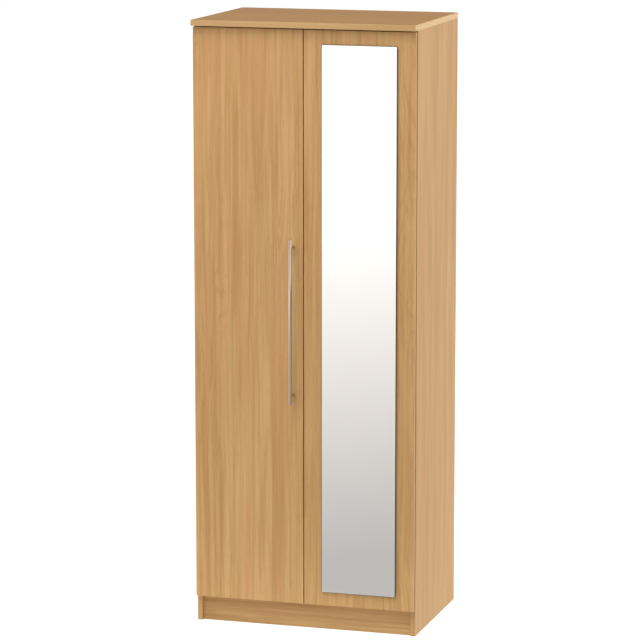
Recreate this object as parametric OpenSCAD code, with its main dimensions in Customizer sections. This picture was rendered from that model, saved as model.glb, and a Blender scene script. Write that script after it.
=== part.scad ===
// Two-door wardrobe: boards, doors on concealed hinges, mirror panel, bar handle and clothes rail.
// +X is to the right, the doors face -Y, +Z is up. The origin is on the floor, at the middle of the outline.

/* [Overall] */
// Width of the top panel, the widest board
total_w = 740; // [700:5:900]
// Height from the floor to the top face
total_h = 1970; // [1900:5:2100]
// Depth of the top panel, from front edge to rear edge
top_d = 530; // [500:5:600]

/* [Boards] */
// Thickness of the sides, base, shelf and plinth boards
board_t = 16; // [16:0.5:19]
// Thickness of the top panel
top_t = 19; // [18:1:28]
// Thickness of the edge strips
edging_t = 1; // [0.5:0.5:2]
// Thickness of the hardboard back
back_t = 3; // [2.5:0.5:4]
// Distance that the top panel stands out past each side
top_side_overhang = 1; // [0:0.5:5]
// Distance that the top panel stands out past the front edges of the sides
top_front_overhang = 33.5; // [20:0.5:40]
// Distance that the top panel stands out behind the sides
top_rear_overhang = 0.5; // [0:0.5:5]

/* [Inside] */
// Height of the plinth boards
plinth_h = 82; // [70:1:100]
// Distance from the front edges of the sides back to the plinth face
plinth_recess = 10; // [5:1:40]
// Height of the underside of the hat shelf
shelf_z = 1620; // [1550:5:1650]
// Diameter of the clothes rail
rail_d = 25; // [20:1:30]
// Distance from the hat shelf down to the middle of the rail
rail_drop = 62; // [50:1:80]

/* [Doors] */
// Thickness of the doors
door_t = 16; // [16:0.5:19]
// Gap between the doors and the front edges of the sides
door_gap = 3; // [2.6:0.1:4]
// Distance from the outer face of a side in to the door edge
door_reveal = 1.5; // [1:0.5:3]
// Gap between the two doors
centre_gap = 3; // [2:0.5:4]
// Gap between the doors and the top panel
top_gap = 4; // [2:0.5:5]
// Height of the lower edge of the doors
door_bottom_z = 85.5; // [84:0.5:90]

/* [Mirror] */
// Width of the mirror
mirror_w = 246; // [200:1:300]
// Distance that the mirror sits outward from the middle of the door
mirror_offset = 1; // [-20:0.5:20]
// Distance from the mirror to the upper and lower edges of the door
mirror_margin = 45.5; // [20:0.5:100]
// Thickness of the mirror glass
mirror_t = 4; // [3:0.5:6]
// Thickness of the mounting tape behind the mirror
tape_t = 3; // [1:0.5:3.5]

/* [Handle] */
// Diameter of the handle bar
bar_d = 12; // [10:0.5:14]
// Length of the handle bar
bar_l = 535; // [500:1:600]
// Distance between the two handle posts
post_pitch = 480; // [400:1:490]
// Diameter of the handle posts
post_d = 10; // [8:0.5:10]
// Distance from the door face to the middle of the bar
bar_standoff = 34; // [25:0.5:40]
// Distance from the free edge of the door to the middle of the bar
handle_inset = 33; // [30:0.5:60]
// Distance from the middle of the door down to the middle of the handle
handle_drop = 1.5; // [-20:0.5:20]

/* [Hinges] */
// Number of hinges on each door
hinge_count = 4; // [3:1:5]
// Distance from the ends of the door to the first and last hinge
hinge_end = 100; // [90:5:120]
// Distance from the door edge to the pivot
pin_inset = 6; // [5:0.1:6]
// Distance from the back face of the door to the pivot
pin_depth = 6; // [6:0.1:6.2]

/* [Hidden] */
$fn = 48;

board_colour = [0.80, 0.64, 0.44];
edge_colour = [0.84, 0.69, 0.49];
back_colour = [0.88, 0.85, 0.80];
metal_colour = [0.72, 0.72, 0.72];
glass_colour = [0.80, 0.84, 0.86];
rubber_colour = [0.15, 0.15, 0.15];

// Length that cutters run past a face, and the play round a fastener in its hole
over = 1;
play = 0.1;

// Screws: shank diameter, length past the held piece, head diameter and head height
plate_screw = [5, 11, 8.5, 2];
socket_screw = [4, 12, 7, 1.8];
cup_screw = [3.5, 10, 7, 1];
arm_screw = [4, 6.5, 7.5, 1.8];
handle_screw = [4, 11, 8, 2];
back_screw = [3, 15, 7, 1.4];
back_screw_pitch = 150;
bore_tail = 1;

side_h = total_h - top_t;
side_d = top_d - top_front_overhang - top_rear_overhang;
outer_x = total_w / 2 - top_side_overhang;
inner_x = outer_x - board_t;
board_mid_x = outer_x - board_t / 2;
outline_d = bar_d / 2 + bar_standoff + door_t + door_gap + side_d + top_rear_overhang;
front_y = bar_d / 2 + bar_standoff + door_t + door_gap - outline_d / 2;
top_front_y = front_y - top_front_overhang;

// The back stands in grooves this deep, this wide, and this far in from the rear edges of the sides
groove_depth = 5;
groove_w = back_t + 4 * play;
back_inset = 10;
back_y = front_y + side_d - back_inset - groove_w;

base_mid_z = plinth_h + board_t / 2;
shelf_mid_z = shelf_z + board_t / 2;
deck_d = back_y + 2 * play - front_y;
plinth_y = front_y + plinth_recess;
rear_plinth_inset = 40;
rear_plinth_y = back_y - rear_plinth_inset - board_t;

// Dowels and cam joints, as distances behind the front edges of the boards
dowel_places = [50, 420];
cam_places = [90, 380];
plinth_dowel_z = [24, 58];
dowel_d = 8;
dowel_in_face = 12;
dowel_in_end = 18;
cam_d = 15;
cam_h = 12.5;
cam_reach = 24;
cam_slot_depth = 1.5;
cam_slot_w = 1.4;
cam_slot_l = 9;
bolt_in_face = 11;
bolt_thread_d = 5;
bolt_shank_d = 6;
bolt_head_d = 7;
bolt_head_l = 5;
bolt_bore_d = 8;

// Clothes rail
rail_wall = 1.2;
rail_y = front_y + side_d / 2;
rail_z = shelf_z - rail_drop;
socket_d = 52;
socket_t = 2.5;
socket_ring_d = rail_d + 6;
socket_ring_l = 14;
socket_screw_r = 20;

// Doors
door_h = side_h - top_gap - door_bottom_z;
door_w = outer_x - door_reveal - centre_gap / 2;
door_outer_x = outer_x - door_reveal;
door_back_y = front_y - door_gap;
door_face_y = door_back_y - door_t;
door_mid_z = door_bottom_z + door_h / 2;
mirror_h = door_h - 2 * mirror_margin;
mirror_mid_x = door_outer_x - door_w / 2 + mirror_offset;
tape_w = 25;
tape_inset = 12;
buffer_d = 9;
buffer_t = door_gap - 2 * play;
buffer_inset = 22;

// Handle, on the free side of the left door
handle_x = -centre_gap / 2 - handle_inset;
handle_z = door_mid_z - handle_drop;
bar_y = door_face_y - bar_standoff;

// Hinges: heights, pivot line and the cup that holds the pin
hinge_pitch = (door_h - 2 * hinge_end) / (hinge_count - 1);
hinge_z = [for (i = [0 : hinge_count - 1]) door_bottom_z + hinge_end + i * hinge_pitch];
pin_x = -door_outer_x + pin_inset;
pin_y = door_back_y - pin_depth;
pin_d = 2.5;
pin_l = 14.4;
cup_d = 35;
cup_depth = 12;
cup_wall = 1;
cup_edge = 3;
cup_x = cup_edge + cup_d / 2 - pin_inset;
collar_d = cup_d + 4;
flange_t = 1.2;
wing_x = cup_x + 9.5;
wing_z = 22.5;
wing_w = 11;
slot_w = 9.2;
slot_l = 8;
lug_from = 5;
lug_t = 4;
lug_w = 5.6;

// Hinge arm and plate, measured from the pivot: cranked strap, then a channel over the plate
pin_to_side = board_t - door_reveal - pin_inset;
pin_to_front = door_gap + pin_depth;
eye_d = 4.6;
strap_w = 8;
strap_t = 2.5;
neck_x = pin_to_side + 0.8;
elbow_y = -2.25;
arm_y = pin_to_front + 4;
arm_l = 62;
arm_w = 17;
arm_wall = 1.5;
arm_lift = 3;
arm_web_t = 2;
plate_y = pin_to_front + 37;
plate_h = 8.5;
boss_l = 46;
boss_w = 12;
wing_plate_t = 2.5;
wing_plate_d = 15;
plate_screw_z = 16;
arm_x = pin_to_side + plate_h + arm_wall;
arm_screw_y = plate_y + 10;

// Repeats its children on the right-hand side
module both_sides() {
    children();
    mirror([1, 0, 0]) children();
}

// Places children at the left ends of the base and the shelf, with +Z into the board's end
module at_side_joints(places) {
    for (z = [base_mid_z, shelf_mid_z])
        for (place = places)
            translate([-inner_x, front_y + place, z]) rotate([0, 90, 0]) children();
}

// Places children on the top end of the left side, with +Z down into the board's end
module at_top_joints(places) {
    for (place = places)
        translate([-board_mid_x, front_y + place, side_h]) rotate([180, 0, 0]) children();
}

// Places children at the left ends of the plinth boards
module at_plinth_joints() {
    for (y = [plinth_y, rear_plinth_y])
        for (z = plinth_dowel_z)
            translate([-inner_x, y + board_t / 2, z]) rotate([0, 90, 0]) children();
}

// Bore for a dowel, across the joint between two boards
module dowel_bore() {
    translate([0, 0, -dowel_in_face - play])
        cylinder(d = dowel_d + play, h = dowel_in_face + dowel_in_end + 2 * play);
}

// Bores for a cam bolt and its cam
module cam_bore() {
    translate([0, 0, -bolt_in_face - play])
        cylinder(d = bolt_thread_d + play, h = bolt_in_face + 2 * play);
    cylinder(d = bolt_bore_d, h = cam_reach);
    translate([board_t / 2 - cam_h - play, 0, cam_reach])
        rotate([0, 90, 0]) cylinder(d = cam_d + 2 * play, h = cam_h + over);
}

// All the joint bores at the left-hand side
module left_joint_bores() {
    at_side_joints(dowel_places) dowel_bore();
    at_side_joints(cam_places) cam_bore();
    at_top_joints(dowel_places) dowel_bore();
    at_top_joints(cam_places) cam_bore();
    at_plinth_joints() dowel_bore();
}

// Cross-head screw through a piece as thick as the grip: the head stands on +Z, the shank runs down
module screw(size, grip) {
    shank_l = grip + size[1];
    head_h = size[3];
    recess = [0.6 * size[2], 0.12 * size[2], head_h];
    difference() {
        union() {
            cylinder(d = size[2], h = head_h);
            translate([0, 0, -shank_l]) cylinder(d = size[0], h = shank_l);
        }
        for (turn = [0, 90])
            rotate(turn) translate([-recess[0] / 2, -recess[1] / 2, 0.45 * head_h]) cube(recess);
    }
}

// Hole for the same screw
module bore(size, grip) {
    depth = grip + size[1] + bore_tail;
    translate([0, 0, -depth]) cylinder(d = size[0] + play, h = depth + over);
}

// Strip round the edges of a board that lies in the XZ plane
module edge_frame(w, t, h) {
    difference() {
        cube([w, t, h]);
        translate([edging_t, -over, edging_t])
            cube([w - 2 * edging_t, t + 2 * over, h - 2 * edging_t]);
    }
}

// Places children at each left-hand pivot, with +X away from the side and +Y to the back
module at_hinges() {
    for (z = hinge_z)
        translate([pin_x, pin_y, z]) children();
}

// Places children at the two wings of a hinge plate, with +Z out of the left side
module at_wings() {
    for (z = [-plate_screw_z, plate_screw_z])
        translate([pin_to_side, plate_y, z]) rotate([0, 90, 0]) children();
}

// Places children on a hinge arm at its clamp screw, with +Z away from the left side
module at_arm_screw() {
    translate([arm_x, arm_screw_y, 0]) rotate([0, 90, 0]) children();
}

// Places children at the two screws of a hinge cup, with +Z out of the back of the door
module at_cup_screws() {
    for (z = [-wing_z, wing_z])
        translate([wing_x, pin_depth, z]) rotate([-90, 0, 0]) children();
}

// Places children at each socket screw, with +Z out of the left side
module at_socket_screws() {
    for (z = [-socket_screw_r, socket_screw_r])
        translate([-inner_x, rail_y, rail_z + z]) rotate([0, 90, 0]) children();
}

// Places children at the screws through the back, with +Z out of the back
module at_back_screws() {
    for (z = [base_mid_z, shelf_mid_z])
        for (place = [-2 : 2])
            translate([place * back_screw_pitch, back_y + 3 * play + back_t, z])
                rotate([-90, 0, 0]) children();
}

// Places children at the two handle posts, with +Z out of the door face
module at_posts() {
    for (side = [-1, 1])
        translate([handle_x, door_face_y, handle_z + side * post_pitch / 2])
            rotate([90, 0, 0]) children();
}

// Places children at the two handle screws, with +Z out of the back of the door
module at_handle_screws() {
    at_posts() translate([0, 0, -door_t]) mirror([0, 0, 1]) children();
}

module side_panel_left() {
    color(board_colour)
        difference() {
            translate([-outer_x, front_y + edging_t, 0])
                cube([board_t, side_d - edging_t, side_h]);
            translate([-inner_x - groove_depth, back_y, plinth_h - over])
                cube([groove_depth + over, groove_w, side_h]);
            left_joint_bores();
            at_hinges() at_wings() bore(plate_screw, 0);
            at_socket_screws() bore(socket_screw, 0);
        }
}

module side_panel_right() {
    mirror([1, 0, 0]) side_panel_left();
}

module side_edging_left() {
    color(edge_colour)
        translate([-outer_x, front_y, 0]) cube([board_t, edging_t, side_h]);
}

module side_edging_right() {
    mirror([1, 0, 0]) side_edging_left();
}

module top_panel() {
    color(board_colour)
        difference() {
            translate([edging_t - total_w / 2, top_front_y + edging_t, side_h])
                cube([total_w - 2 * edging_t, top_d - edging_t, top_t]);
            translate([-inner_x - groove_depth, back_y, side_h - over])
                cube([2 * (inner_x + groove_depth), groove_w, groove_depth + over]);
            both_sides() left_joint_bores();
        }
}

module top_edging() {
    color(edge_colour)
        difference() {
            translate([-total_w / 2, top_front_y, side_h]) cube([total_w, top_d, top_t]);
            translate([edging_t - total_w / 2, top_front_y + edging_t, side_h - over])
                cube([total_w - 2 * edging_t, top_d, top_t + 2 * over]);
        }
}

// Board between the sides, from just behind its edge strip to the back
module deck(z) {
    difference() {
        translate([-inner_x, front_y + edging_t, z])
            cube([2 * inner_x, deck_d - edging_t, board_t]);
        both_sides() left_joint_bores();
        at_back_screws() bore(back_screw, back_t);
    }
}

module deck_edging(z) {
    translate([-inner_x, front_y, z]) cube([2 * inner_x, edging_t, board_t]);
}

module base_panel() {
    color(board_colour) deck(plinth_h);
}

module base_edging() {
    color(edge_colour) deck_edging(plinth_h);
}

module hat_shelf() {
    color(board_colour) deck(shelf_z);
}

module shelf_edging() {
    color(edge_colour) deck_edging(shelf_z);
}

module plinth_board(y) {
    difference() {
        translate([-inner_x, y, 0]) cube([2 * inner_x, board_t, plinth_h]);
        both_sides() at_plinth_joints() dowel_bore();
    }
}

module plinth_front() {
    color(board_colour) plinth_board(plinth_y);
}

module plinth_rear() {
    color(board_colour) plinth_board(rear_plinth_y);
}

module back_panel() {
    back_half_w = inner_x + groove_depth - 2 * play;
    color(back_colour)
        difference() {
            translate([-back_half_w, back_y + 3 * play, plinth_h])
                cube([2 * back_half_w, back_t, side_h + groove_depth - 2 * play - plinth_h]);
            at_back_screws() bore(back_screw, back_t);
        }
}

module back_screws() {
    color(metal_colour) at_back_screws() screw(back_screw, back_t);
}

module dowels() {
    color(edge_colour)
        both_sides() {
            at_side_joints(dowel_places) dowel();
            at_top_joints(dowel_places) dowel();
            at_plinth_joints() dowel();
        }
}

module dowel() {
    translate([0, 0, -dowel_in_face]) cylinder(d = dowel_d, h = dowel_in_face + dowel_in_end);
}

module cam_bolts() {
    color(metal_colour)
        both_sides() {
            at_side_joints(cam_places) cam_bolt();
            at_top_joints(cam_places) cam_bolt();
        }
}

module cam_bolt() {
    translate([0, 0, -bolt_in_face]) cylinder(d = bolt_thread_d, h = bolt_in_face);
    cylinder(d = bolt_shank_d, h = cam_reach);
    translate([0, 0, cam_reach - bolt_head_l / 2]) cylinder(d = bolt_head_d, h = bolt_head_l);
}

module cam_locks() {
    color(metal_colour)
        both_sides() {
            at_side_joints(cam_places) cam_lock();
            at_top_joints(cam_places) cam_lock();
        }
}

// Round lock in the board: the bolt head sits in a bore from its rim, the driver slot is on its face
module cam_lock() {
    difference() {
        translate([board_t / 2 - cam_h, 0, cam_reach])
            rotate([0, 90, 0]) cylinder(d = cam_d, h = cam_h);
        translate([0, 0, cam_reach - cam_d]) cylinder(d = bolt_bore_d, h = cam_d + bolt_head_l);
        for (turn = [0, 90])
            translate([board_t / 2, 0, cam_reach]) rotate([turn, 0, 0])
                cube([2 * cam_slot_depth, cam_slot_w, cam_slot_l], center = true);
    }
}

module hanging_rail() {
    rail_half_l = inner_x - socket_t - 3 * play;
    color(metal_colour)
        translate([-rail_half_l, rail_y, rail_z]) rotate([0, 90, 0])
            difference() {
                cylinder(d = rail_d, h = 2 * rail_half_l);
                translate([0, 0, -over])
                    cylinder(d = rail_d - 2 * rail_wall, h = 2 * (rail_half_l + over));
            }
}

module rail_socket_left() {
    color(metal_colour)
        difference() {
            translate([-inner_x, rail_y, rail_z]) rotate([0, 90, 0])
                union() {
                    cylinder(d = socket_d, h = socket_t);
                    cylinder(d = socket_ring_d, h = socket_ring_l);
                }
            translate([socket_t - inner_x, rail_y, rail_z]) rotate([0, 90, 0])
                cylinder(d = rail_d + 3 * play, h = socket_ring_l);
            at_socket_screws() translate([0, 0, socket_t]) bore(socket_screw, socket_t);
        }
}

module rail_socket_right() {
    mirror([1, 0, 0]) rail_socket_left();
}

module rail_screws() {
    color(metal_colour)
        both_sides() at_socket_screws() translate([0, 0, socket_t]) screw(socket_screw, socket_t);
}

// Mounting plate: two screw wings and the block that carries the arm
module hinge_plate() {
    difference() {
        union() {
            at_wings() cylinder(d = wing_plate_d, h = wing_plate_t);
            translate([pin_to_side, plate_y - wing_plate_d / 2, -plate_screw_z])
                cube([wing_plate_t, wing_plate_d, 2 * plate_screw_z]);
            translate([pin_to_side, plate_y - boss_l / 2, -boss_w / 2])
                cube([plate_h, boss_l, boss_w]);
        }
        at_wings() translate([0, 0, wing_plate_t]) bore(plate_screw, wing_plate_t);
        at_arm_screw() bore(arm_screw, arm_wall);
    }
}

module hinge_plates_left() {
    color(metal_colour) at_hinges() hinge_plate();
}

module hinge_plates_right() {
    mirror([1, 0, 0]) hinge_plates_left();
}

module plate_screws() {
    color(metal_colour)
        both_sides() at_hinges() at_wings()
            translate([0, 0, wing_plate_t]) screw(plate_screw, wing_plate_t);
}

// Outline of the strap, seen from above: eye round the pin, then up beside the side panel
module strap_outline() {
    elbow_x = neck_x + strap_t / 2;
    difference() {
        union() {
            circle(d = eye_d);
            rotate(atan2(elbow_y, elbow_x))
                translate([0, -strap_t / 2]) square([norm([elbow_x, elbow_y]), strap_t]);
            translate([elbow_x, elbow_y]) circle(d = strap_t);
            translate([neck_x, elbow_y]) square([strap_t, arm_y - elbow_y + strap_t / 2]);
        }
        circle(d = pin_d + play);
    }
}

module hinge_arm() {
    difference() {
        union() {
            translate([0, 0, -strap_w / 2]) linear_extrude(strap_w) strap_outline();
            translate([neck_x, arm_y, -arm_w / 2]) cube([arm_x - neck_x, arm_web_t, arm_w]);
            translate([pin_to_side + arm_lift, arm_y, -arm_w / 2])
                cube([arm_x - pin_to_side - arm_lift, arm_l, arm_w]);
        }
        translate([pin_to_side, arm_y + arm_web_t, arm_wall - arm_w / 2])
            cube([plate_h, arm_l, arm_w - 2 * arm_wall]);
        at_arm_screw() bore(arm_screw, arm_wall);
    }
}

module hinge_arms_left() {
    color(metal_colour) at_hinges() hinge_arm();
}

module hinge_arms_right() {
    mirror([1, 0, 0]) hinge_arms_left();
}

module arm_screws() {
    color(metal_colour)
        both_sides() at_hinges() at_arm_screw() screw(arm_screw, arm_wall);
}

// Cup with its screw flange; the slot in the wall lets the arm swing past the pin
module cup_shell() {
    difference() {
        union() {
            cup_barrel();
            translate([cup_x, pin_depth, 0]) rotate([-90, 0, 0])
                cylinder(d = collar_d, h = flange_t);
            translate([wing_x - wing_w / 2, pin_depth, -wing_z]) cube([wing_w, flange_t, 2 * wing_z]);
            at_cup_screws() cylinder(d = wing_w, h = flange_t);
        }
        translate([cup_x, pin_depth - cup_depth + cup_wall, 0]) rotate([-90, 0, 0])
            cylinder(d = cup_d - 2 * cup_wall, h = cup_depth + over);
        translate([cup_x - collar_d / 2 - over, pin_depth - cup_depth + cup_wall, -slot_w / 2])
            cube([slot_l, cup_depth + over, slot_w]);
        at_cup_screws() translate([0, 0, flange_t]) bore(cup_screw, flange_t);
    }
}

module cup_barrel() {
    translate([cup_x, pin_depth - cup_depth, 0]) rotate([-90, 0, 0])
        cylinder(d = cup_d, h = cup_depth);
}

// Cup with the two lugs in its wall that hold the pin
module hinge_cup() {
    difference() {
        union() {
            cup_shell();
            intersection() {
                cup_barrel();
                for (side = [-1, 1])
                    translate([-lug_w / 2, -lug_w / 2, side * (lug_from + lug_t / 2) - lug_t / 2])
                        cube([lug_w, lug_w, lug_t]);
            }
        }
        translate([0, 0, -pin_l / 2 - play]) cylinder(d = pin_d + play / 2, h = pin_l + 2 * play);
    }
}

module hinge_cups_left() {
    color(metal_colour) at_hinges() hinge_cup();
}

module hinge_cups_right() {
    mirror([1, 0, 0]) hinge_cups_left();
}

module hinge_pins_left() {
    color(metal_colour)
        at_hinges() translate([0, 0, -pin_l / 2]) cylinder(d = pin_d, h = pin_l);
}

module hinge_pins_right() {
    mirror([1, 0, 0]) hinge_pins_left();
}

module cup_screws_left() {
    color(metal_colour)
        at_hinges() at_cup_screws() translate([0, 0, flange_t]) screw(cup_screw, flange_t);
}

module cup_screws_right() {
    mirror([1, 0, 0]) cup_screws_left();
}

// Door board inside its edge strip, with the cup and cup screw bores in its back
module door_board() {
    difference() {
        translate([edging_t - door_outer_x, door_face_y, door_bottom_z + edging_t])
            cube([door_w - 2 * edging_t, door_t, door_h - 2 * edging_t]);
        at_hinges()
            translate([cup_x, pin_depth - cup_depth - 2 * play, 0]) rotate([-90, 0, 0])
                cylinder(d = cup_d + 2 * play, h = cup_depth + over);
        at_hinges() at_cup_screws() bore(cup_screw, 0);
    }
}

module door_left() {
    color(board_colour)
        difference() {
            door_board();
            at_handle_screws() bore(handle_screw, door_t);
        }
}

module door_right() {
    color(board_colour) mirror([1, 0, 0]) door_board();
}

module door_edging_left() {
    color(edge_colour)
        translate([-door_outer_x, door_face_y, door_bottom_z]) edge_frame(door_w, door_t, door_h);
}

module door_edging_right() {
    mirror([1, 0, 0]) door_edging_left();
}

module handle_bar() {
    color(metal_colour)
        translate([handle_x, bar_y, handle_z - bar_l / 2]) cylinder(d = bar_d, h = bar_l);
}

// Posts with a saddle end that fits the bar and a threaded bore for the screw
module handle_posts() {
    color(metal_colour)
        difference() {
            at_posts()
                difference() {
                    cylinder(d = post_d, h = bar_standoff);
                    translate([0, post_d, bar_standoff]) rotate([90, 0, 0])
                        cylinder(d = bar_d, h = 2 * post_d);
                }
            at_handle_screws() bore(handle_screw, door_t);
        }
}

module handle_screws() {
    color(metal_colour) at_handle_screws() screw(handle_screw, door_t);
}

// Soft stops on the back of the door, where it meets the base and the shelf
module door_buffers_left() {
    color(rubber_colour)
        for (z = [(door_bottom_z + plinth_h + board_t) / 2, shelf_mid_z])
            translate([-centre_gap / 2 - buffer_inset, door_back_y, z]) rotate([-90, 0, 0])
                cylinder(d = buffer_d, h = buffer_t);
}

module door_buffers_right() {
    mirror([1, 0, 0]) door_buffers_left();
}

module mirror_glass() {
    color(glass_colour)
        translate([mirror_mid_x - mirror_w / 2, door_face_y - tape_t - mirror_t,
                   door_bottom_z + mirror_margin])
            cube([mirror_w, mirror_t, mirror_h]);
}

// Upright strips of foam tape between the mirror and the door
module mirror_tape() {
    tape_pitch = mirror_w / 2 - tape_inset - tape_w / 2;
    color(rubber_colour)
        for (side = [-1, 0, 1])
            translate([mirror_mid_x + side * tape_pitch - tape_w / 2, door_face_y - tape_t,
                       door_bottom_z + mirror_margin + tape_inset])
                cube([tape_w, tape_t, mirror_h - 2 * tape_inset]);
}

side_panel_left();
side_panel_right();
side_edging_left();
side_edging_right();
top_panel();
top_edging();
base_panel();
base_edging();
plinth_front();
plinth_rear();
hat_shelf();
shelf_edging();
back_panel();
back_screws();
dowels();
cam_bolts();
cam_locks();
hanging_rail();
rail_socket_left();
rail_socket_right();
rail_screws();
hinge_plates_left();
hinge_plates_right();
plate_screws();
hinge_arms_left();
hinge_arms_right();
arm_screws();
door_left();
door_edging_left();
hinge_cups_left();
hinge_pins_left();
cup_screws_left();
handle_bar();
handle_posts();
handle_screws();
door_buffers_left();
door_right();
door_edging_right();
hinge_cups_right();
hinge_pins_right();
cup_screws_right();
mirror_glass();
mirror_tape();
door_buffers_right();
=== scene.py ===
import math

import bmesh
import bpy
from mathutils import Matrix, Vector


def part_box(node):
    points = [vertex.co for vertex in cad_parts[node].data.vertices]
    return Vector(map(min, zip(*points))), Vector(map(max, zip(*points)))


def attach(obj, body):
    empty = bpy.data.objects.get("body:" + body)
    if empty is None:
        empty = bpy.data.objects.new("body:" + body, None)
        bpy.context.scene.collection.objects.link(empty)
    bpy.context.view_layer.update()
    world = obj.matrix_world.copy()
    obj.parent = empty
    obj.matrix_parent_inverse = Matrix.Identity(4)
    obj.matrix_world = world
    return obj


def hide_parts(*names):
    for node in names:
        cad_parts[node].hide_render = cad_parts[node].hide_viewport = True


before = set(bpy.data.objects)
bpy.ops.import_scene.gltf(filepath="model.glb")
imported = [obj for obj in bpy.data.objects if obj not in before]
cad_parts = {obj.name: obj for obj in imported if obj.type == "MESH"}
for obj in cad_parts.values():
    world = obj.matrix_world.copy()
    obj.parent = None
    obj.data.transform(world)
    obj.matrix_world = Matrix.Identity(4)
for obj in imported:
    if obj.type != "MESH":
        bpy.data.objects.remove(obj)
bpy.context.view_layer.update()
scene = bpy.context.scene


# The camera stands to the right of the wardrobe and a little above it, a long way off with a long
# lens, so the upright edges draw together only slightly towards the floor.
VIEW_AZIMUTH = 0.293113
VIEW_ELEVATION = 0.172779
VIEW_DISTANCE = 10.5765
VIEW_AIM = Vector((0.0431, -0.198, 1.0151))

away = Vector((math.sin(VIEW_AZIMUTH) * math.cos(VIEW_ELEVATION),
               -math.cos(VIEW_AZIMUTH) * math.cos(VIEW_ELEVATION),
               math.sin(VIEW_ELEVATION)))
camera = bpy.data.objects.new("camera", bpy.data.cameras.new("camera"))
camera.data.sensor_width = 36
camera.data.lens = 185.82
camera.location = VIEW_AIM + VIEW_DISTANCE * away
camera.rotation_euler = away.to_track_quat("Z", "Y").to_euler()
scene.collection.objects.link(camera)
scene.camera = camera
scene.view_settings.view_transform = "Standard"


# The studio is a plain white room with no corners: a glowing floor that runs out of sight, a dim
# sky above a bright horizon, a big soft lamp high on the left, a smaller one on the right and one
# overhead. In front of the wardrobe the floor's glow is painted to fall off to grey, a painted shade on
# the floor which the mirror reflects.
FLOOR_RADIUS = 90
FLOOR_ALBEDO = 0.22
FLOOR_GLOW = 1.15
FLOOR_WHITE = 0.82
SHADE_TURN = math.radians(50)
SHADE_START = 0.36
SHADE_FULL = 0.74
SHADE_REACH = 10
SKY_LOW = 1.0
SKY_HIGH = 0.3
SKY_FALL = (math.sin(math.radians(5)), math.sin(math.radians(22)))
LAMP_AIM = Vector((0, 0, 1))
# name, azimuth and elevation in degrees, distance and size in metres, watts
LAMPS = (("left_lamp", -32, 50, 14, 9.1, 1040),
         ("ceiling_lamp", -6, 76, 10, 4.2, 570),
         ("right_lamp", 97, 24, 6.0, 3.0, 142))


def new_material(name):
    """An empty material, its node tree, and its shader ready to set."""
    made = bpy.data.materials.new(name)
    made.use_nodes = True
    tree = made.node_tree
    return made, tree, tree.nodes["Principled BSDF"]


def add_node(tree, kind, inputs=None, **settings):
    """A node with its settings, and its unlinked inputs set by name."""
    made = tree.nodes.new(kind)
    for name, value in settings.items():
        setattr(made, name, value)
    for name, value in (inputs or {}).items():
        made.inputs[name].default_value = value
    return made


def colour_stops(ramp, stops):
    """Gives a colour ramp its stops: position and colour of each."""
    elements = ramp.color_ramp.elements
    while len(elements) < len(stops):
        elements.new(0.5)
    for element, (position, colour) in zip(elements, stops):
        element.position = position
        element.color = colour


shape = bmesh.new()
bmesh.ops.create_circle(shape, cap_ends=True, segments=96, radius=FLOOR_RADIUS)
mesh = bpy.data.meshes.new("studio_floor")
shape.to_mesh(mesh)
shape.free()
floor = bpy.data.objects.new("studio_floor", mesh)
scene.collection.objects.link(floor)

floor_paint, tree, shader = new_material("studio_floor_paint")
place = add_node(tree, "ShaderNodeTexCoord")


def floor_run(azimuth, low, high, smooth):
    """How far a spot on the floor lies out towards an azimuth, from 0 at low to 1 at high."""
    along = add_node(tree, "ShaderNodeVectorMath", operation="DOT_PRODUCT")
    along.inputs[1].default_value = (math.sin(azimuth), -math.cos(azimuth), 0)
    tree.links.new(place.outputs["Object"], along.inputs[0])
    limits = add_node(tree, "ShaderNodeMapRange", {"From Min": low, "From Max": high},
                      interpolation_type="SMOOTHSTEP" if smooth else "LINEAR")
    tree.links.new(along.outputs["Value"], limits.inputs["Value"])
    return limits.outputs["Result"]


shade_end = SHADE_REACH * math.cos(SHADE_TURN - VIEW_AZIMUTH) / math.cos(VIEW_AZIMUTH)
run = floor_run(-SHADE_TURN, 0, shade_end, False)
# painted shade: the floor's glow runs from grey near the wardrobe to white far out in front
grey = add_node(tree, "ShaderNodeValToRGB")
colour_stops(grey, [(0.0, (0.215, 0.197, 0.184, 1)), (0.1, (0.225, 0.206, 0.192, 1)),
                    (0.3, (0.415, 0.38, 0.355, 1)), (0.5, (0.575, 0.535, 0.505, 1)),
                    (0.8, (0.78, 0.755, 0.715, 1)), (1.0, (0.98, 0.98, 0.98, 1))])
tree.links.new(run, grey.inputs[0])
paint = add_node(tree, "ShaderNodeMix", data_type="RGBA")
paint.inputs[6].default_value = (FLOOR_WHITE, FLOOR_WHITE, FLOOR_WHITE, 1)
tree.links.new(floor_run(VIEW_AZIMUTH, SHADE_START, SHADE_FULL, True), paint.inputs[0])
tree.links.new(grey.outputs[0], paint.inputs[7])
tree.links.new(paint.outputs[2], shader.inputs["Emission Color"])
shader.inputs["Emission Strength"].default_value = FLOOR_GLOW
shader.inputs["Base Color"].default_value = (FLOOR_ALBEDO, FLOOR_ALBEDO, FLOOR_ALBEDO, 1)
shader.inputs["Roughness"].default_value = 1
shader.inputs["Specular IOR Level"].default_value = 0
mesh.materials.append(floor_paint)

world = bpy.data.worlds.new("studio_sky")
world.use_nodes = True
scene.world = world
tree = world.node_tree
sky = tree.nodes["Background"]
place = add_node(tree, "ShaderNodeTexCoord")
apart = add_node(tree, "ShaderNodeSeparateXYZ")
tree.links.new(place.outputs["Generated"], apart.inputs[0])
fall = add_node(tree, "ShaderNodeMapRange", {"From Min": SKY_FALL[0], "From Max": SKY_FALL[1],
                                             "To Min": SKY_LOW, "To Max": SKY_HIGH},
                interpolation_type="SMOOTHSTEP")
tree.links.new(apart.outputs["Z"], fall.inputs["Value"])
tree.links.new(fall.outputs["Result"], sky.inputs["Strength"])
sky.inputs["Color"].default_value = (1, 1, 1, 1)

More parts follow.
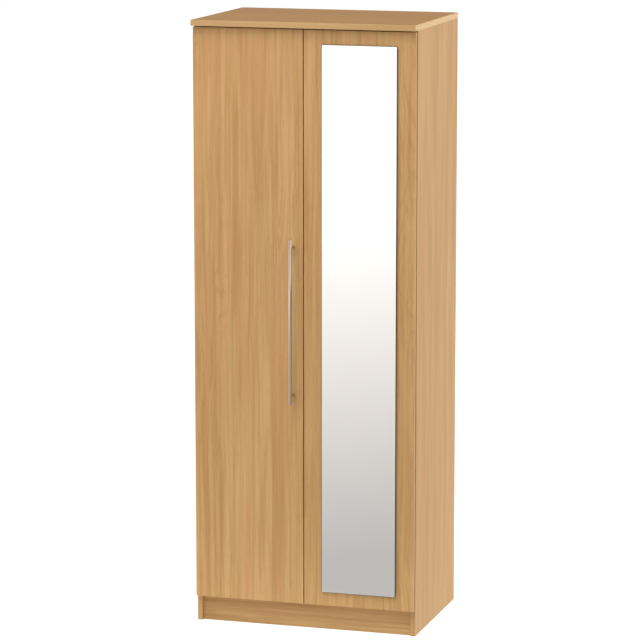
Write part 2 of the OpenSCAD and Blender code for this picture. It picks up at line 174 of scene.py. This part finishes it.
for name, azimuth, elevation, distance, size, watts in LAMPS:
    lamp = bpy.data.objects.new(name, bpy.data.lights.new(name, "AREA"))
    lamp.data.shape = "SQUARE"
    lamp.data.size = size
    lamp.data.energy = watts
    turn = math.radians(azimuth)
    rise = math.radians(elevation)
    towards = Vector((math.sin(turn) * math.cos(rise), -math.cos(turn) * math.cos(rise), math.sin(rise)))
    lamp.location = LAMP_AIM + distance * towards
    lamp.rotation_euler = towards.to_track_quat("Z", "Y").to_euler()
    scene.collection.objects.link(lamp)


# The sides are 16 mm chipboard with a printed oak laminate on both faces, grain upright. They
# stand on the floor, are bored for dowels, cams and hinge plates, and grooved for the back.
def linear(red, green, blue):
    """A colour as read off a swatch, 0 to 255, in the linear values that shaders take."""
    channels = [c / 255 for c in (red, green, blue)]
    return [c / 12.92 if c <= 0.04045 else ((c + 0.055) / 1.055) ** 2.4 for c in channels] + [1]


BOARD_EASE = 0.0003
OAK_PALE = linear(206, 167, 112)
OAK_DEEP = linear(184, 140, 87)
OAK_ROSE = linear(205, 153, 106)
OAK_PORE = linear(142, 98, 54)
OAK = (OAK_PALE, OAK_DEEP, OAK_ROSE, OAK_PORE)


def wood_print_group():
    """The printed wood pattern, for grain in metres along Z: colour, height and roughness."""
    group = bpy.data.node_groups.new("wood_print", "ShaderNodeTree")
    for name, kind in (("Grain", "NodeSocketVector"), ("Pale", "NodeSocketColor"),
                       ("Deep", "NodeSocketColor"), ("Rose", "NodeSocketColor"),
                       ("Pore", "NodeSocketColor"), ("Figure", "NodeSocketFloat")):
        group.interface.new_socket(name, in_out="INPUT", socket_type=kind)
    for name, kind in (("Colour", "NodeSocketColor"), ("Height", "NodeSocketFloat"),
                       ("Roughness", "NodeSocketFloat")):
        group.interface.new_socket(name, in_out="OUTPUT", socket_type=kind)
    taken = add_node(group, "NodeGroupInput")
    given = add_node(group, "NodeGroupOutput")
    wire = group.links.new

    def noise(vector, across, along, detail, seed):
        """Noise drawn out along the grain: across and along are its rates in each metre."""
        stretch = add_node(group, "ShaderNodeMapping", {"Scale": (across, across, along),
                                                        "Location": (seed, 2 * seed, 3 * seed)})
        wire(vector, stretch.inputs["Vector"])
        cloud = add_node(group, "ShaderNodeTexNoise", {"Scale": 1.0, "Detail": detail})
        wire(stretch.outputs[0], cloud.inputs["Vector"])
        return cloud

    def mask(value, low, high):
        """A value as a share from 0 at low to 1 at high."""
        limits = add_node(group, "ShaderNodeMapRange", {"From Min": low, "From Max": high},
                          interpolation_type="SMOOTHSTEP")
        wire(value, limits.inputs["Value"])
        return limits.outputs["Result"]

    def maths(operation, *values):
        """One sum of two or three values; each may be a plain number."""
        made = add_node(group, "ShaderNodeMath", operation=operation)
        for socket, value in zip(made.inputs, values):
            if isinstance(value, float):
                socket.default_value = value
            else:
                wire(value, socket)
        return made.outputs[0]

    def tint(share, under, over):
        """Mixes the over colour into the under colour by a share."""
        mixed = add_node(group, "ShaderNodeMix", data_type="RGBA")
        for socket, value in ((0, share), (6, under), (7, over)):
            wire(value, mixed.inputs[socket])
        return mixed.outputs[2]

    # the grain runs straight but for a few places, where the figure swirls
    grain = taken.outputs["Grain"]
    swirl = mask(noise(grain, 7.0, 1.5, 1.0, 4.1).outputs[0], 0.50, 0.66)
    drift = add_node(group, "ShaderNodeVectorMath", operation="SUBTRACT")
    drift.inputs[1].default_value = (0.5, 0.5, 0.5)
    wire(noise(grain, 9.0, 2.2, 1.0, 1.7).outputs["Color"], drift.inputs[0])
    spread = add_node(group, "ShaderNodeVectorMath", operation="MULTIPLY")
    spread.inputs[1].default_value = (1, 1, 0)
    wire(drift.outputs[0], spread.inputs[0])
    sway = add_node(group, "ShaderNodeVectorMath", operation="SCALE")
    wire(spread.outputs[0], sway.inputs[0])
    figured = maths("MULTIPLY", swirl, taken.outputs["Figure"])
    wire(maths("MULTIPLY_ADD", figured, 0.036, 0.005), sway.inputs["Scale"])
    bent = add_node(group, "ShaderNodeVectorMath", operation="ADD")
    wire(grain, bent.inputs[0])
    wire(sway.outputs[0], bent.inputs[1])
    bent = bent.outputs[0]

    streak = mask(noise(bent, 84.0, 2.4, 3.0, 3.1).outputs[0], 0.34, 0.66)
    band = mask(noise(bent, 22.0, 1.1, 2.0, 6.2).outputs[0], 0.36, 0.64)
    blush = mask(noise(bent, 42.0, 1.8, 2.0, 11.7).outputs[0], 0.42, 0.66)
    fibre = mask(noise(bent, 330.0, 6.0, 2.0, 5.3).outputs[0], 0.35, 0.65)
    pore = mask(noise(bent, 1100.0, 24.0, 1.0, 8.9).outputs[0], 0.60, 0.72)

    # arches: level lines of a slow field, drawn thin and dark where the figure swirls
    field = noise(bent, 14.0, 1.5, 1.0, 9.4).outputs[0]
    lines = mask(maths("SINE", maths("MULTIPLY", field, 120.0)), 0.0, 1.0)
    arches = maths("MULTIPLY", lines, figured)

    colour = tint(maths("MULTIPLY_ADD", streak, 0.62, maths("MULTIPLY", band, 0.38)),
                  taken.outputs["Deep"], taken.outputs["Pale"])
    colour = tint(maths("MULTIPLY", blush, 0.45), colour, taken.outputs["Rose"])
    colour = tint(maths("MULTIPLY", arches, 0.17), colour, taken.outputs["Pore"])
    colour = tint(maths("MULTIPLY", fibre, 0.09), colour, taken.outputs["Pore"])
    colour = tint(maths("MULTIPLY", pore, 0.30), colour, taken.outputs["Pore"])
    wire(colour, given.inputs["Colour"])

    dents = maths("MULTIPLY", maths("ADD", pore, fibre), 0.5)
    wire(maths("SUBTRACT", 1.0, dents), given.inputs["Height"])
    wire(maths("MULTIPLY_ADD", streak, 0.1, 0.48), given.inputs["Roughness"])
    return group


WOOD_PRINT = wood_print_group()
ALONG_Z = (0, 0, 0)
ALONG_X = (0, math.radians(90), 0)
ALONG_Y = (math.radians(90), 0, 0)


def laminate(name, grain, offset, figure=0.5, colours=OAK):
    """Satin wood-print laminate with its grain turned one way and its pattern moved by an offset."""
    made, tree, shader = new_material(name)
    place = add_node(tree, "ShaderNodeTexCoord")
    turned = add_node(tree, "ShaderNodeMapping", vector_type="POINT",
                      inputs={"Rotation": grain, "Location": offset})
    tree.links.new(place.outputs["Object"], turned.inputs["Vector"])
    print_node = add_node(tree, "ShaderNodeGroup", node_tree=WOOD_PRINT)
    print_node.inputs["Figure"].default_value = figure
    for socket, colour in zip(("Pale", "Deep", "Rose", "Pore"), colours):
        print_node.inputs[socket].default_value = colour
    tree.links.new(turned.outputs[0], print_node.inputs["Grain"])
    relief = add_node(tree, "ShaderNodeBump", inputs={"Strength": 0.25, "Distance": 0.0002})
    tree.links.new(print_node.outputs["Height"], relief.inputs["Height"])
    tree.links.new(relief.outputs["Normal"], shader.inputs["Normal"])
    tree.links.new(print_node.outputs["Colour"], shader.inputs["Base Color"])
    tree.links.new(print_node.outputs["Roughness"], shader.inputs["Roughness"])
    shader.inputs["Specular IOR Level"].default_value = 0.2
    return made


def chipboard(name):
    """Raw pressed wood chips, seen where a board has no laminate or edge strip."""
    made, tree, shader = new_material(name)
    place = add_node(tree, "ShaderNodeTexCoord")
    chips = add_node(tree, "ShaderNodeTexVoronoi", inputs={"Scale": 420.0, "Randomness": 1.0})
    tree.links.new(place.outputs["Object"], chips.inputs["Vector"])
    tone = add_node(tree, "ShaderNodeValToRGB")
    colour_stops(tone, [(0.0, linear(150, 112, 72)), (1.0, linear(214, 178, 128))])
    split = add_node(tree, "ShaderNodeSeparateColor")
    tree.links.new(chips.outputs["Color"], split.inputs[0])
    tree.links.new(split.outputs[0], tone.inputs[0])
    tree.links.new(tone.outputs[0], shader.inputs["Base Color"])
    relief = add_node(tree, "ShaderNodeBump", inputs={"Strength": 0.5, "Distance": 0.0005})
    tree.links.new(split.outputs[1], relief.inputs["Height"])
    tree.links.new(relief.outputs["Normal"], shader.inputs["Normal"])
    shader.inputs["Roughness"].default_value = 0.85
    return made


MERGE_GAP = 1e-5
FLAT_TURN = math.radians(1)
SHARP_TURN = math.radians(30)


def eased(node, name, body, ease, segments=2, corner=lambda edge, low, high: True):
    """A piece whose sharp corners are eased, made from a merged copy of its frame node."""
    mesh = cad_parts[node].data.copy()
    mesh.name = name
    mesh.materials.clear()
    mesh.attributes.remove(mesh.attributes["custom_normal"])
    shape = bmesh.new()
    shape.from_mesh(mesh)
    bmesh.ops.remove_doubles(shape, verts=shape.verts, dist=MERGE_GAP)
    # round walls are shaded smooth, flat ones stay flat
    for face in shape.faces:
        face.smooth = any(FLAT_TURN < edge.calc_face_angle(0) < SHARP_TURN for edge in face.edges)
    low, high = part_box(node)
    sharp = [edge for edge in shape.edges
             if edge.calc_face_angle(0) > SHARP_TURN and corner(edge, low, high)]
    made = bmesh.ops.bevel(shape, geom=sharp, offset=ease, affect="EDGES", segments=segments,
                           profile=0.5, material=-1, clamp_overlap=True)
    # the narrow faces of the bevel itself are smooth too
    for face in made["faces"]:
        if 2 * face.calc_area() < ease * face.calc_perimeter():
            face.smooth = True
    shape.to_mesh(mesh)
    shape.free()
    piece = bpy.data.objects.new(name, mesh)
    scene.collection.objects.link(piece)
    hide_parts(node)
    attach(piece, body)
    return piece


def paint_faces(piece, materials, choose):
    """Gives the piece these materials; choose tells which one from a face's normal."""
    for material in materials:
        piece.data.materials.append(material)
    for face in piece.data.polygons:
        face.material_index = choose(face.normal)


RAW_BOARD = chipboard("raw_chipboard")
for hand, offset in (("left", (1.3, 0.2, 0.4)), ("right", (-2.2, 0.9, 1.7))):
    side = eased(f"side_panel_{hand}", f"{hand}_side", "carcass", BOARD_EASE)
    paint_faces(side, (laminate(f"oak_{hand}_side", ALONG_Z, offset, 0.1), RAW_BOARD),
                lambda normal: int(abs(normal.x) < 0.5))


# A plastic strip with a wood print is ironed on the front edge of each side, its corners scraped
# round. Its print is painted darker than the boards, a painted shade along the front edges.
STRIP_EASE = 0.0006


def outer_corner(edge, low, high):
    """True for an edge where two faces of the strip's box meet."""
    sides = 0
    for axis in range(3):
        for limit in (low[axis], high[axis]):
            sides += all(abs(vert.co[axis] - limit) < MERGE_GAP for vert in edge.verts)
    return sides > 1


def front_corner(edge, low, high):
    """True for an outer edge that lies on the front of a straight strip."""
    return outer_corner(edge, low, high) and all(vert.co.y < low[1] + MERGE_GAP for vert in edge.verts)


# painted shade: the strip colours are darker than the oak of the boards
SIDE_STRIP_SHADED = (linear(195, 158, 106), linear(174, 132, 82), linear(194, 145, 100), OAK_PORE)
for hand, offset in (("left", 0.7), ("right", 2.9)):
    strip = eased(f"side_edging_{hand}", f"{hand}_side_strip", "carcass", STRIP_EASE,
                  corner=front_corner)
    strip.data.materials.append(laminate(f"strip_{hand}_side", ALONG_Z, (offset, 0, 0), 0.2, SIDE_STRIP_SHADED))


# Base, hat shelf and the two plinth boards lie between the sides, of the same board with the
# grain running across the wardrobe. The base and the shelf have a strip on the front edge. The
# plinth's print is painted a little darker, a painted shade like the shadow under the doors.
PLINTH_OAK_SHADED = (linear(200, 161, 107), linear(171, 129, 80), linear(192, 143, 97), OAK_PORE)
for node, offset, colours in (("base_panel", (0.3, 0.5, 0), OAK), ("hat_shelf", (2.3, 1.5, 0.4), OAK),
                              ("plinth_front", (4.1, 0.3, 0.2), PLINTH_OAK_SHADED),
                              ("plinth_rear", (5.1, 0.6, 0.8), PLINTH_OAK_SHADED)):
    board = eased(node, f"{node}_board", "carcass", BOARD_EASE)
    board.data.materials.append(laminate(f"oak_{node}", ALONG_X, offset, 1.5, colours))
for node, offset in (("base_edging", (0.1, 0.2, 3)), ("shelf_edging", (0.5, 0.2, 4))):
    strip = eased(node, f"{node}_strip", "carcass", BOARD_EASE, corner=front_corner)
    strip.data.materials.append(laminate(f"strip_{node}", ALONG_X, offset, 0.2))


# The top is a thicker 19 mm board that stands out over the doors; its laminate is painted darker
# than the fronts, a painted shade on its faces. A pale strip with rounded corners runs along its front
# and both sides; the rear edge is left raw.
TOP_OAK_SHADED = (linear(155, 116, 65), linear(136, 97, 49), linear(151, 107, 59), OAK_PORE)
top = eased("top_panel", "top_board", "carcass", BOARD_EASE)
paint_faces(top, (laminate("oak_top_shaded", ALONG_X, (0.9, 0.1, 0.6), 1.0, TOP_OAK_SHADED), RAW_BOARD),
            lambda normal: int(abs(normal.z) < 0.5))
# painted light: the strip's side faces are painted much paler than its front, though it is one strip
TOP_FRONT = (linear(199, 164, 114), linear(189, 152, 102), linear(198, 154, 110), OAK_PORE)
TOP_SIDES_LIT = (linear(229, 195, 147), linear(217, 181, 131), linear(227, 183, 142), OAK_PORE)
top_strip = eased("top_edging", "top_strip", "carcass", STRIP_EASE, corner=outer_corner)
paint_faces(top_strip, (laminate("strip_top_front", ALONG_X, (0.2, 0.3, 5), 0.1, TOP_FRONT),
                        laminate("strip_top_sides_lit", ALONG_Y, (0.2, 0.3, 6), 0.1, TOP_SIDES_LIT)),
            lambda normal: int(abs(normal.x) > 0.5))


# The back is 3 mm hardboard slid into grooves in the sides and the top, printed on the inside
# and brown outside, and held by small screws along the base and the shelf.
def hardboard(name):
    """Smooth pressed fibre board with a faint speckle."""
    made, tree, shader = new_material(name)
    place = add_node(tree, "ShaderNodeTexCoord")
    cloudy = add_node(tree, "ShaderNodeTexNoise", inputs={"Scale": 5.0, "Detail": 3.0})
    speck = add_node(tree, "ShaderNodeTexNoise", inputs={"Scale": 900.0, "Detail": 2.0})
    blend = add_node(tree, "ShaderNodeMix", data_type="FLOAT", inputs={0: 0.5})
    tone = add_node(tree, "ShaderNodeValToRGB")
    colour_stops(tone, [(0.35, linear(128, 92, 60)), (0.65, linear(164, 124, 86))])
    for noise, socket in ((cloudy, 2), (speck, 3)):
        tree.links.new(place.outputs["Object"], noise.inputs["Vector"])
        tree.links.new(noise.outputs[0], blend.inputs[socket])
    tree.links.new(blend.outputs[0], tone.inputs[0])
    tree.links.new(tone.outputs[0], shader.inputs["Base Color"])
    relief = add_node(tree, "ShaderNodeBump", inputs={"Strength": 0.2, "Distance": 0.0003})
    tree.links.new(speck.outputs[0], relief.inputs["Height"])
    tree.links.new(relief.outputs["Normal"], shader.inputs["Normal"])
    shader.inputs["Roughness"].default_value = 0.6
    return made


back = eased("back_panel", "back_sheet", "carcass", 0.0001)
paint_faces(back, (hardboard("brown_hardboard"), laminate("oak_back", ALONG_Z, (3.3, 0.4, 0.1), 0.2)),
            lambda normal: int(normal.y < -0.5))


# Knock-down fittings: beech dowels and cam bolts inside the joints, zinc cams flush in the boards,
# and the screws and pins of the back, the rail, the hinges and the handle.
def plated_steel(name, colour, roughness, scratch):
    """Plated steel with a fine cloudy polish that changes how it shines."""
    made, tree, shader = new_material(name)
    place = add_node(tree, "ShaderNodeTexCoord")
    cloudy = add_node(tree, "ShaderNodeTexNoise", inputs={"Scale": 60.0, "Detail": 4.0})
    tree.links.new(place.outputs["Object"], cloudy.inputs["Vector"])
    polish = add_node(tree, "ShaderNodeMapRange", inputs={"From Min": 0.3, "From Max": 0.7,
                                                          "To Min": roughness - scratch,
                                                          "To Max": roughness + scratch})
    tree.links.new(cloudy.outputs[0], polish.inputs["Value"])
    tree.links.new(polish.outputs["Result"], shader.inputs["Roughness"])
    shader.inputs["Base Color"].default_value = colour
    shader.inputs["Metallic"].default_value = 1
    return made


def finish_nodes(nodes, finish):
    """Gives frame nodes one finish and leaves their shapes alone."""
    for node in nodes:
        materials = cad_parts[node].data.materials
        materials.clear()
        materials.append(finish)


finish_nodes(["dowels"], laminate("beech_dowel", ALONG_X, (7, 7, 7), 0.0))
ZINC = plated_steel("zinc_plate", linear(206, 205, 200), 0.34, 0.08)
finish_nodes(["cam_bolts", "cam_locks", "back_screws", "rail_screws", "plate_screws", "arm_screws",
              "cup_screws_left", "cup_screws_right", "hinge_pins_left", "hinge_pins_right",
              "handle_screws"], ZINC)


# The clothes rail is a chromed steel tube under the hat shelf. Its ends lie in two sockets that
# are screwed to the sides.
CHROME = plated_steel("chrome_plate", linear(225, 226, 228), 0.08, 0.03)
finish_nodes(["hanging_rail", "rail_socket_left", "rail_socket_right"], CHROME)


# Concealed hinges in nickel-plated pressed steel: a plate screwed to the side, a cranked arm
# clamped on it, and a round cup let into the back of the door.
NICKEL = plated_steel("nickel_plate", linear(214, 211, 204), 0.24, 0.05)
for hand in ("left", "right"):
    for node, body, ease in ((f"hinge_plates_{hand}", "carcass", 0.0004),
                             (f"hinge_arms_{hand}", "carcass", 0.0003),
                             (f"hinge_cups_{hand}", f"{hand}_door", 0.0002)):
        fitting = eased(node, f"{node}_shell", body, ease)
        fitting.data.materials.append(NICKEL)


# The doors are 16 mm boards with the grain upright and a thin strip on all four edges. The edges
# of the strip are rounded, so each door has a soft outline.
for hand, offset in (("left", (0.35, 1.1, 0.8)), ("right", (5.1, 0.95, 1.2))):
    door = eased(f"door_{hand}", f"{hand}_door_board", f"{hand}_door", 0.0001)
    door.data.materials.append(laminate(f"oak_{hand}_door", ALONG_Z, offset, 1.0))
    rim = eased(f"door_edging_{hand}", f"{hand}_door_strip", f"{hand}_door",
                STRIP_EASE, corner=outer_corner)
    paint_faces(rim, (laminate(f"strip_{hand}_door", ALONG_Z, offset, 0.2),
                      laminate(f"strip_{hand}_door_ends", ALONG_X, offset, 0.2)),
                lambda normal: int(abs(normal.z) > 0.5))


# The mirror is 4 mm silvered glass with its edges ground to a narrow bevel, held to the
# right door by three strips of black foam tape. The ground edges are painted near black: partly the
# glass edge itself, partly a painted shade line around the mirror.
def frosted(name, colour, scale, smoothest, roughest):
    """A dense plain material whose shine changes with fine noise; also gives its shader."""
    made, tree, shader = new_material(name)
    place = add_node(tree, "ShaderNodeTexCoord")
    grit = add_node(tree, "ShaderNodeTexNoise", inputs={"Scale": scale, "Detail": 3.0})
    tree.links.new(place.outputs["Object"], grit.inputs["Vector"])
    shine = add_node(tree, "ShaderNodeMapRange", inputs={"From Min": 0.3, "From Max": 0.7,
                                                         "To Min": smoothest, "To Max": roughest})
    tree.links.new(grit.outputs[0], shine.inputs["Value"])
    tree.links.new(shine.outputs["Result"], shader.inputs["Roughness"])
    shader.inputs["Base Color"].default_value = colour
    return made, shader


glass = eased("mirror_glass", "mirror_sheet", "right_door", 0.001, 1)
silver, shader = frosted("silvered_glass", (0.93, 0.935, 0.935, 1), 12.0, 0.006, 0.014)
shader.inputs["Metallic"].default_value = 1
# the edge colour is near black: the ground glass edge, with a painted shade line added
ground, shader = frosted("ground_edge_and_painted_shade", linear(12, 12, 10), 1500.0, 0.5, 0.7)
shader.inputs["Specular IOR Level"].default_value = 0.08
paint_faces(glass, (silver, ground), lambda normal: int(normal.y > -0.9))

foam, tree, shader = new_material("foam_tape")
place = add_node(tree, "ShaderNodeTexCoord")
cells = add_node(tree, "ShaderNodeTexVoronoi", inputs={"Scale": 2500.0})
tree.links.new(place.outputs["Object"], cells.inputs["Vector"])
relief = add_node(tree, "ShaderNodeBump", inputs={"Strength": 0.6, "Distance": 0.0003})
tree.links.new(cells.outputs["Distance"], relief.inputs["Height"])
tree.links.new(relief.outputs["Normal"], shader.inputs["Normal"])
shader.inputs["Base Color"].default_value = linear(30, 30, 31)
shader.inputs["Roughness"].default_value = 0.9
finish_nodes(["mirror_tape"], foam)


# The handle is a long brushed stainless bar on two posts, screwed through the left door from
# behind.
def brushed_steel(name):
    """Stainless steel brushed along its length: fine upright lines that roughen the shine."""
    made, tree, shader = new_material(name)
    place = add_node(tree, "ShaderNodeTexCoord")
    stretch = add_node(tree, "ShaderNodeMapping", inputs={"Scale": (9000, 9000, 60)})
    tree.links.new(place.outputs["Object"], stretch.inputs["Vector"])
    lines = add_node(tree, "ShaderNodeTexNoise", inputs={"Scale": 1.0, "Detail": 2.0})
    tree.links.new(stretch.outputs[0], lines.inputs["Vector"])
    shine = add_node(tree, "ShaderNodeMapRange", inputs={"To Min": 0.04, "To Max": 0.1})
    tree.links.new(lines.outputs[0], shine.inputs["Value"])
    tree.links.new(shine.outputs["Result"], shader.inputs["Roughness"])
    relief = add_node(tree, "ShaderNodeBump", inputs={"Strength": 0.05, "Distance": 0.00005})
    tree.links.new(lines.outputs[0], relief.inputs["Height"])
    tree.links.new(relief.outputs["Normal"], shader.inputs["Normal"])
    # painted reflection: the steel's colour is tinted warm, standing in for the wooden door it reflects
    shader.inputs["Base Color"].default_value = linear(204, 187, 168)
    shader.inputs["Metallic"].default_value = 1
    return made


STAINLESS = brushed_steel("brushed_stainless")
for node in ("handle_bar", "handle_posts"):
    part = eased(node, f"{node}_turned", "left_door", 0.0005)
    part.data.materials.append(STAINLESS)


# Clear soft stops on the backs of the doors meet the base and the shelf.
clear, shader = frosted("soft_stop_plastic", linear(225, 225, 220), 700.0, 0.18, 0.32)
shader.inputs["Subsurface Weight"].default_value = 0.3
for hand in ("left", "right"):
    stop = eased(f"door_buffers_{hand}", f"{hand}_door_stops", f"{hand}_door", 0.0008, 3)
    stop.data.materials.append(clear)
